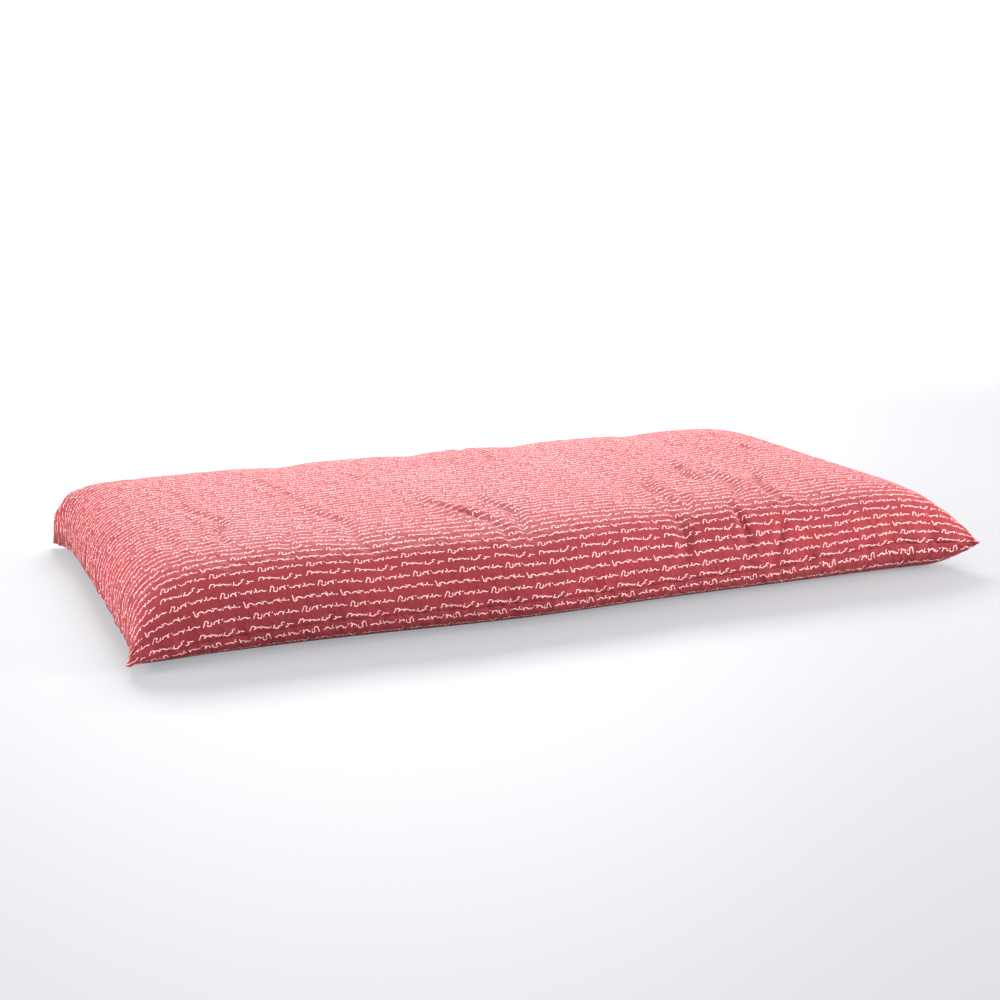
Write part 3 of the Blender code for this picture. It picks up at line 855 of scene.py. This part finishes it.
CRESTED_ROW = (
    ("bar", (5, -3.2, 9, 5.4)),
    ("loop", (13, 1.4, 3.6, 0.9, 0.8, 1, 0.0)),
    ("loop", (22, -3.2, 4.6, 0.7, 0, 1, 0.15)),
    ("bar", (28.5, 2.4, 29.3, 3)),
    ("loop", (34, -3.2, 4.0, 0.7, 0, 1, 0.15)),
    ("wave", (40, 52, -2.0, 1.3, 5.2)),
    ("bar", (55, -5.4, 58.5, 1.8)),
    ("loop", (63, -2.4, 3.8, 0.8, 0.2, -1, 0.05)),
    ("bar", (69, -2.8, 72, -2.2)),
    ("loop", (78, 1.2, 3.6, 0.9, -1, 0.7, 0.0)),
    ("loop", (84, -2.8, 3.4, 0.8, 1, -0.5, 0.0)),
    ("bar", (91, -1.6, 98, -2.0)),
)


def mark_sizes(kind, sizes):
    """What one mark's group is given, in metres."""
    if kind == "wave":
        return dict(zip(("Start", "End", "Level", "Height", "Pitch"), (0.001 * size for size in sizes)))
    if kind == "bar":
        x0, y0, x1, y1 = (0.001 * size for size in sizes)
        return {"From": (x0, y0, 0.0), "To": (x1, y1, 0.0)}
    x, y, radius, squash, facing_x, facing_y, cut = sizes
    return {
        "Middle": (0.001 * x, 0.001 * y, 0.0),
        "Squash": (squash, 1.0, 1.0),
        "Facing": Vector((facing_x, facing_y, 0.0)).normalized(),
        "Radius": 0.001 * radius,
        "Cut": cut,
    }


def row_group(name, marks, kinds):
    """One row design: the union of its brush marks, on a place within the repeat."""
    graph, given, result = mark_group(name, {})
    total = 0.0
    for kind, sizes in marks:
        common = {label: given[label] for label in ("Place", "Half_Width")}
        mark = graph.place(kinds[kind], **common, **mark_sizes(kind, sizes))
        total = graph.math("MAXIMUM", mark["Mask"], total)
    graph.feed(result["Mask"], total)
    return graph.tree


def printed_rows_group():
    """Rows of brush marks: curved, crested, curved and arched rows in turn, each shifted along."""
    kinds = {"bar": bar_mark_group(), "loop": loop_mark_group(), "wave": wave_mark_group()}
    curved = row_group("curved_row", CURVED_ROW, kinds)
    arched = row_group("arched_row", ARCHED_ROW, kinds)
    crested = row_group("crested_row", CRESTED_ROW, kinds)
    graph, given, result = shader_group("printed_rows", {"Cloth": "v"}, {"Mask": "f"})
    hand = graph.noise_node(given["Cloth"], HAND_SCALE, dimensions="2D")["Color"]
    drift = graph.vector("SUBTRACT", hand, (0.5, 0.5, 0.5))
    place = graph.vector("ADD", given["Cloth"], graph.scaled(drift, HAND_DRIFT))
    x, y, _ = graph.split(place)
    lines = graph.math("DIVIDE", y, ROW_PITCH)
    row = graph.math("FLOOR", lines)
    up = graph.times(graph.minus(graph.minus(lines, row), 0.5), ROW_PITCH)
    shift = graph.times(graph.math("SINE", graph.times(row, ROW_TURN)), ROW_SPREAD)
    repeats = graph.plus(graph.math("DIVIDE", x, MOTIF_REPEAT), shift)
    local = graph.join(graph.times(graph.math("FRACT", repeats), MOTIF_REPEAT), up)
    brush = graph.noise(given["Cloth"], BRUSH_SCALE, 1.0)
    half = graph.fade(brush, 0.25, 0.75, 0.7 * MARK_HALF_WIDTH, 1.35 * MARK_HALF_WIDTH)
    total = 0.0
    for group, every, first in ((curved, 2.0, 0.0), (crested, 4.0, 1.0), (arched, 4.0, 3.0)):
        mask = graph.place(group, Place=local, Half_Width=half)["Mask"]
        its_row = graph.math("COMPARE", graph.math("FLOORED_MODULO", row, every), first, 0.5)
        total = graph.plus(graph.times(mask, its_row), total)
    dry = graph.fade(graph.noise(given["Cloth"], DRY_SCALE), 0.30, 0.46, 0.55, 1.0)
    graph.feed(result["Mask"], graph.math("MULTIPLY", total, dry, clamp=True))
    return graph.tree


def plain_weave_group():
    """Threads over and under: height, and a mask of the warp threads."""
    takes, gives = {"Cloth": "v", "Thread": "f"}, {"Height": "f", "Warp": "f"}
    graph, given, result = shader_group("plain_weave", takes, gives)
    slub = graph.noise(given["Cloth"], SLUB_SCALE)
    turns = graph.scaled(given["Cloth"], graph.math("DIVIDE", math.pi, given["Thread"]))
    swings = [graph.math("SINE", turn) for turn in graph.split(turns)[:2]]
    warp, weft = (graph.math("ABSOLUTE", swing) for swing in swings)
    on_top = graph.fade(graph.times(*swings), -0.25, 0.25)
    high = graph.plus(graph.times(warp, on_top), graph.times(weft, graph.minus(1.0, on_top)))
    graph.feed(result["Height"], graph.times(high, graph.fade(slub, 0.2, 0.8, 0.7, 1.2)))
    graph.feed(result["Warp"], on_top)
    return graph.tree


def cloth_crumple_group():
    """Soft crumpling of washed cotton, as a height of about 0 to 1, and its worn patches."""
    graph, given, result = shader_group("cloth_crumple", {"Place": "v"}, {"Height": "f", "Patches": "f"})
    bend = graph.noise_node(given["Place"], BEND_SCALE)["Color"]
    warped = graph.vector("ADD", given["Place"], graph.scaled(bend, BEND_SIZE))
    broad = graph.noise(warped, BROAD_SCALE, 3.0)
    ridge = graph.math("ABSOLUTE", graph.minus(graph.noise(warped, RIDGE_SCALE), 0.5))
    sharp = graph.fade(ridge, 0.0, 0.12, 1.0, 0.0)
    graph.feed(result["Height"], graph.plus(graph.times(broad, 0.7), graph.times(sharp, 0.12)))
    graph.feed(result["Patches"], graph.noise(given["Place"], PATCH_SCALE, 4.0, 0.6))
    return graph.tree


GROUPS = {
    "rows": printed_rows_group(),
    "weave": plain_weave_group(),
    "crumple": cloth_crumple_group(),
}


def finish_material(name, roughness, metallic=0.0, sheen=0.0, sheen_tint=WHITE, sheen_roughness=0.4):
    """A material with its shader's own plain sockets set; returns (material, graph, shader inputs)."""
    material = bpy.data.materials.new(name)
    material.use_nodes = True
    graph = Graph(material.node_tree)
    shader = material.node_tree.nodes["Principled BSDF"].inputs
    shader["Roughness"].default_value = roughness
    shader["Metallic"].default_value = metallic
    shader["Sheen Weight"].default_value = sheen
    shader["Sheen Tint"].default_value = sheen_tint
    shader["Sheen Roughness"].default_value = sheen_roughness
    return material, graph, shader


def woven(graph, cut, thread, crumpled, threads):
    """Woven cloth, as (warp mask, worn patches, normal); the last two pairs are bump strength and depth."""
    weave = graph.place(GROUPS["weave"], Cloth=cut, Thread=thread)
    crumple = graph.place(GROUPS["crumple"], Place=graph.object_place())
    soft = graph.bump(crumple["Height"], *crumpled)
    return weave["Warp"], crumple["Patches"], graph.bump(weave["Height"], *threads, Normal=soft)


def cover_cotton(name):
    """Washed crimson cotton with cream brush marks."""
    material, graph, shader = finish_material(
        name, 0.85, sheen=SHEEN, sheen_tint=SHEEN_TINT, sheen_roughness=SHEEN_ROUGHNESS
    )
    shader["Specular IOR Level"].default_value = COTTON_SPECULAR
    cut = graph.node("ShaderNodeUVMap", uv_map="flat_cut").outputs[0]
    mask = graph.place(GROUPS["rows"], Cloth=cut)["Mask"]
    warp, patches, normal = woven(graph, cut, COVER_THREAD, (0.9, 0.012), (0.30, 0.0002))
    ground = graph.mix(graph.fade(patches, 0.3, 0.7), CRIMSON, CRIMSON_WORN)
    ground = graph.mix(graph.times(warp, 0.16), ground, CRIMSON_WARP)
    cream = graph.mix(graph.times(warp, 0.10), CREAM, CREAM_WARP)
    graph.feed(shader["Base Color"], graph.mix(mask, ground, cream))
    graph.feed(shader["Roughness"], graph.fade(patches, 0.2, 0.8, 0.78, 0.92))
    graph.feed(shader["Normal"], normal)
    return material


# ---- zip


def one_piece(name, parts, material):
    """Joins parts that are already in place, and gives them their material."""
    deselect_all()
    for part in parts:
        part.select_set(True)
    bpy.context.view_layer.objects.active = parts[0]
    if len(parts) > 1:
        bpy.ops.object.join()
    made = bpy.context.view_layer.objects.active
    make_active(made)
    bpy.ops.object.transform_apply(location=True, rotation=True, scale=True)
    made.name = name
    made.data.name = name
    made.data.materials.clear()
    made.data.materials.append(material)
    return made


def bevel_all(thing, width, segments):
    edit_all(thing, bpy.ops.mesh.bevel, offset=width, segments=segments, affect="EDGES")
    bpy.ops.object.shade_smooth_by_angle(angle=SMOOTH_ANGLE)


def block(low, high, bevel=0.0, segments=2):
    """A block between two corners, with its edges rounded."""
    low, high = Vector(low), Vector(high)
    deselect_all()
    bpy.ops.mesh.primitive_cube_add(size=1.0, location=(low + high) / 2)
    made = bpy.context.object
    made.scale = high - low
    bpy.ops.object.transform_apply(location=True, rotation=True, scale=True)
    if bevel > 0.0:
        bevel_all(made, bevel, segments)
    return made


def pin(middle, radius, length):
    """A round pin along Z with rounded ends."""
    deselect_all()
    bpy.ops.mesh.primitive_cylinder_add(vertices=20, radius=radius, depth=length, location=middle)
    made = bpy.context.object
    bpy.ops.object.transform_apply(location=True, rotation=True, scale=True)
    bevel_all(made, 0.15 * radius, 1)
    return made


def tooth_row(name, node, side, material):
    """Moulded teeth on a cord along one tape: each has a waist and a broader head."""
    low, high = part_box(node)
    middle_y = 0.5 * (low.y + high.y)
    half_y = 0.5 * (high.y - low.y)
    inner, outer = (low.z, high.z) if side > 0 else (high.z, low.z)
    head = inner - side * TOOTH_MESH
    waist = inner + side * TOOTH_WAIST
    shift = 0.0 if side > 0 else 0.5 * TOOTH_PITCH
    start = low.x + shift
    root = block((start, middle_y - half_y, min(waist, outer)),
                 (start + TOOTH_LENGTH, middle_y + half_y, max(waist, outer)), TOOTH_ROUND, 1)
    near, far = sorted((head, waist + side * TOOTH_ROUND))
    tip = block((start + TOOTH_TIP_INSET, middle_y - TIP_SHARE * half_y, near),
                (start + TOOTH_LENGTH - TOOTH_TIP_INSET, middle_y + TIP_SHARE * half_y, far), TOOTH_ROUND, 1)
    teeth = one_piece(name, [root, tip], material)
    row = teeth.modifiers.new("row", "ARRAY")
    row.use_relative_offset = False
    row.use_constant_offset = True
    row.constant_offset_displace = (TOOTH_PITCH, 0.0, 0.0)
    row.count = int((high.x - start - TOOTH_LENGTH) / TOOTH_PITCH) + 1
    apply_modifiers(teeth)
    core_near = inner + side * CORE_START * abs(outer - inner)
    core = block((low.x, middle_y - TOOTH_CORE, min(core_near, outer)),
                 (high.x, middle_y + TOOTH_CORE, max(core_near, outer)))
    return one_piece(name, [teeth, core], material)


def narrow_nose(thing, middle, share):
    """The slider is narrower at the end where the teeth leave it meshed."""
    points = coordinates(thing.data)
    nose = points[:, 0] < middle.x
    points[nose, 2] = middle.z + (points[nose, 2] - middle.z) * share
    set_coordinates(thing.data, points)


def slider_piece(material):
    """Two plates joined by a post, and two lugs on the outer plate with the pull's pin."""
    low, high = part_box("zip_slider")
    teeth_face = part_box("zip_teeth_upper")[1].y + ZIP_PLAY
    middle = 0.5 * (low + high)
    inner_face, outer_face = low.y + PLATE, teeth_face + PLATE
    parts = []
    for near, far in ((low.y, inner_face), (teeth_face, outer_face)):
        plate = block((low.x, near, low.z), (high.x, far, high.z))
        narrow_nose(plate, middle, SLIDER_NOSE)
        bevel_all(plate, SLIDER_ROUND, 3)
        parts.append(plate)
    parts.append(block((high.x - POST_NEAR, inner_face - OVERLAP, middle.z - POST_HALF),
                       (high.x - POST_FAR, teeth_face + OVERLAP, middle.z + POST_HALF), 0.0002, 1))
    for side in (-1.0, 1.0):
        near, far = sorted((middle.z + side * LUG_NEAR, middle.z + side * LUG_FAR))
        parts.append(block((middle.x - LUG_HALF, outer_face - LUG_ROOT, near),
                           (middle.x + LUG_HALF, high.y, far), LUG_ROUND, 2))
    parts.append(pin((middle.x, PIN_Y, middle.z), PIN_RADIUS, 2.0 * (LUG_FAR - LUG_ROOT)))
    return one_piece("zip_slider_body", parts, material)


def pull_piece(material):
    """Flat pull: an eye round the slider's pin, a neck, and a tab with pressed ribs for the fingers."""
    low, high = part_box("zip_pull")
    middle = 0.5 * (low + high)
    pin_x = 0.5 * sum(corner.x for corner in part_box("zip_slider"))
    half = 0.5 * PULL_THICKNESS
    tab_end = pin_x - PULL_NECK
    tab = block((low.x, middle.y - half, low.z), (tab_end, middle.y + half, high.z))
    make_active(tab)
    bpy.ops.object.mode_set(mode="EDIT")
    bpy.ops.mesh.select_mode(type="EDGE")
    bpy.ops.mesh.select_all(action="DESELECT")
    bpy.ops.object.mode_set(mode="OBJECT")
    for edge in tab.data.edges:
        ends = [tab.data.vertices[index].co for index in edge.vertices]
        edge.select = abs(ends[0].y - ends[1].y) > half
    bpy.ops.object.mode_set(mode="EDIT")
    bpy.ops.mesh.bevel(offset=PULL_CORNER, segments=5, affect="EDGES")
    bpy.ops.object.mode_set(mode="OBJECT")
    bevel_all(tab, 0.00015, 1)
    neck = block((tab_end - NECK_OVERLAP, middle.y - half, middle.z - PULL_NECK_HALF),
                 (pin_x - PULL_EYE, middle.y + half, middle.z + PULL_NECK_HALF), 0.0002, 1)
    deselect_all()
    bpy.ops.mesh.primitive_torus_add(
        major_segments=24, minor_segments=10, location=(pin_x, middle.y, middle.z),
        major_radius=PULL_EYE + OVERLAP, minor_radius=PULL_EYE_WIRE,
    )
    eye = bpy.context.object
    bpy.ops.object.transform_apply(location=True, rotation=True, scale=True)
    eye.data.shade_smooth()
    parts = [tab, neck, eye]
    for number in range(PULL_RIBS):
        x = low.x + RIB_START + number * RIB_PITCH
        parts.append(block((x, middle.y - half - OVERLAP, low.z + RIB_INSET),
                           (x + RIB_WIDTH, middle.y + half + OVERLAP, high.z - RIB_INSET), 0.00012, 1))
    return one_piece("zip_pull_tab", parts, material)


# ---- other finishes


def brass():
    """Antiqued brass, mottled with darker tarnish."""
    material, graph, shader = finish_material("antique_brass", 0.34, metallic=1.0)
    place = graph.object_place()
    tarnish = graph.fade(graph.noise(place, 900.0, 4.0), 0.35, 0.7)
    graph.feed(shader["Base Color"], graph.mix(tarnish, BRASS, BRASS_DARK))
    graph.feed(shader["Roughness"], graph.fade(tarnish, 0.0, 1.0, 0.26, 0.5))
    graph.feed(shader["Normal"], graph.bump(graph.noise(place, 2600.0), strength=0.12, distance=0.0001))
    return material


def moulded_teeth():
    """Moulded acetal teeth in the cover's crimson."""
    material, graph, shader = finish_material("moulded_teeth", 0.42)
    shade = graph.fade(graph.noise(graph.object_place(), 300.0), 0.3, 0.7)
    graph.feed(shader["Base Color"], graph.mix(shade, TEETH_RED, TEETH_RED_WORN))
    graph.feed(shader["Roughness"], graph.fade(shade, 0.0, 1.0, 0.36, 0.5))
    return material


def tape_weave():
    """The zip's woven tape: warp and weft shades, slubs and a light crumple."""
    material, graph, shader = finish_material("zip_tape_weave", 0.8, sheen=0.3)
    warp, patches, normal = woven(graph, graph.object_place(), TAPE_THREAD, (0.3, 0.004), (0.4, 0.0002))
    ground = graph.mix(graph.times(warp, 0.5), TAPE_RED, TAPE_RED_WARP)
    graph.feed(shader["Base Color"], graph.mix(graph.times(patches, 0.25), ground, TAPE_RED_WARP))
    graph.feed(shader["Roughness"], graph.fade(patches, 0.2, 0.8, 0.74, 0.85))
    graph.feed(shader["Normal"], normal)
    return material


def striped_ticking():
    """Unbleached cotton ticking with thin woven stripes."""
    material, graph, shader = finish_material("striped_ticking", 0.88, sheen=0.2)
    place = graph.object_place()
    warp, patches, normal = woven(graph, place, TICKING_THREAD, (0.4, 0.004), (0.4, 0.0003))
    run = graph.math("FRACT", graph.math("DIVIDE", graph.split(place)["Y"], STRIPE_PITCH))
    from_middle = graph.math("ABSOLUTE", graph.minus(run, 0.5))
    stripe = graph.math("LESS_THAN", from_middle, STRIPE_SHARE)
    ground = graph.mix(warp, TICKING, TICKING_WARP)
    graph.feed(shader["Base Color"], graph.mix(graph.times(stripe, 0.7), ground, TICKING_STRIPE))
    graph.feed(shader["Roughness"], graph.fade(patches, 0.2, 0.8, 0.82, 0.94))
    graph.feed(shader["Normal"], normal)
    return material


def matted_fibre(name, colours, scale, depth):
    """Matted fibres: batting, felt and waxed twine."""
    material, graph, shader = finish_material(name, 0.95, sheen=0.4)
    place = graph.object_place()
    tangle = graph.noise_node(place, 0.3 * scale)["Color"]
    wound = graph.vector("ADD", place, graph.scaled(tangle, 3.0 / scale))
    fibres = graph.noise(wound, scale, 6.0, 0.65)
    graph.feed(shader["Base Color"], graph.mix(graph.fade(fibres, 0.3, 0.7), *colours))
    graph.feed(shader["Roughness"], graph.fade(fibres, 0.3, 0.7, 0.88, 1.0))
    graph.feed(shader["Normal"], graph.bump(fibres, strength=0.6, distance=depth))
    return material


def dress(names, material):
    """A carried-over CAD node keeps its mesh and gets this finish."""
    for name in names:
        node = NODES[name]
        if not node.material_slots:
            node.data.materials.append(material)
        for place in node.material_slots:
            place.material = material


def nodes_called(*starts):
    return [name for name in sorted(NODES) if name.startswith(starts)]


# ---- stage


def studio():
    """A pale floor that runs into a pale backdrop, lit softly from above and behind."""
    deselect_all()
    bpy.ops.mesh.primitive_plane_add(size=FLOOR_SIZE, location=(0.0, 0.0, FLOOR_LEVEL))
    floor = bpy.context.object
    floor.name = "studio_floor"
    material, graph, shader = finish_material("pale_floor", 0.6)
    shader["Specular IOR Level"].default_value = 0.15
    far = graph.fade(graph.vector("LENGTH", graph.object_place()), FLOOR_NEAR, FLOOR_FAR)
    seen = graph.node("ShaderNodeLightPath").outputs["Is Camera Ray"]
    graph.feed(shader["Base Color"], graph.mix(seen, FLOOR_BOUNCE, FLOOR_PALE))
    shader["Emission Strength"].default_value = BACKDROP_STRENGTH
    glow = graph.mix(far, FLOOR_GLOW, WHITE)
    graph.feed(shader["Emission Color"], graph.mix(seen, BLACK, glow))
    floor.data.materials.append(material)

    world = bpy.data.worlds.new("studio")
    world.use_nodes = True
    graph = Graph(world.node_tree)
    background = world.node_tree.nodes["Background"]
    background.inputs["Color"].default_value = WHITE
    seen = graph.node("ShaderNodeLightPath").outputs["Is Camera Ray"]
    strength = graph.fade(seen, 0.0, 1.0, WORLD_STRENGTH, BACKDROP_STRENGTH)
    graph.feed(background.inputs["Strength"], strength)
    bpy.context.scene.world = world
    bpy.context.scene.view_settings.view_transform = "Standard"

    for name, place, aim, size, energy, colour in LIGHTS:
        deselect_all()
        bpy.ops.object.light_add(type="AREA", location=place)
        lamp = bpy.context.object
        lamp.name = name
        lamp.data.shape = "RECTANGLE"
        lamp.data.size, lamp.data.size_y = size
        lamp.data.energy = energy
        lamp.data.color = colour
        lamp.rotation_euler = (Vector(aim) - Vector(place)).to_track_quat("-Z", "Y").to_euler()


def camera():
    """A long lens from the front left, a little above the top."""
    data = bpy.data.cameras.new("camera")
    data.lens = CAMERA_LENS
    data.sensor_width = 36.0
    made = bpy.data.objects.new("camera", data)
    bpy.context.scene.collection.objects.link(made)
    turn = Matrix.Rotation(math.radians(-CAMERA_YAW), 4, "Z")
    tip = Matrix.Rotation(math.radians(90.0 - CAMERA_PITCH), 4, "X")
    roll = Matrix.Rotation(math.radians(CAMERA_ROLL), 4, "Z")
    made.matrix_world = Matrix.Translation(CAMERA_PLACE) @ turn @ tip @ roll
    bpy.context.scene.camera = made


# ---- making


camera()
cover_cloth = cover_cotton("cover_cotton")
cover_top, top_flat, cover_under, under_flat = cover_panels(cover_cloth)
zip_brass = brass()
teeth_finish = moulded_teeth()
teeth_upper = tooth_row("zip_teeth_row_upper", "zip_teeth_upper", 1.0, teeth_finish)
teeth_lower = tooth_row("zip_teeth_row_lower", "zip_teeth_lower", -1.0, teeth_finish)
slider = slider_piece(zip_brass)
pull = pull_piece(zip_brass)

dress(nodes_called("zip_tape"), tape_weave())
dress(nodes_called("zip_top_stop", "zip_bottom_stop", "zip_teeth"), teeth_finish)
dress(nodes_called("zip_slider", "zip_pull"), zip_brass)
dress(nodes_called("casing"), striped_ticking())
dress(nodes_called("cotton_layer"), matted_fibre("cotton_batting", (BATTING, BATTING_DARK), 90.0, 0.002))
dress(nodes_called("tuft_washer"), matted_fibre("wool_felt", (FELT, FELT_DARK), 700.0, 0.0004))
dress(nodes_called("tuft_tie"), matted_fibre("waxed_twine", (TWINE, TWINE_DARK), 1200.0, 0.0003))
dress(nodes_called("cover"), cover_cloth)

for piece, node, body, slot in (
    (cover_top, "cover_top_panel", "mattress", "cover_cotton"),
    (cover_under, "cover_bottom_panel", "mattress", "cover_cotton"),
    (teeth_upper, "zip_teeth_upper", "mattress", "zip_teeth"),
    (teeth_lower, "zip_teeth_lower", "mattress", "zip_teeth"),
    (slider, "zip_slider", "slider", "zip_slider"),
    (pull, "zip_pull", "pull", "zip_slider"),
):
    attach(piece, body)
    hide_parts(node)

studio()
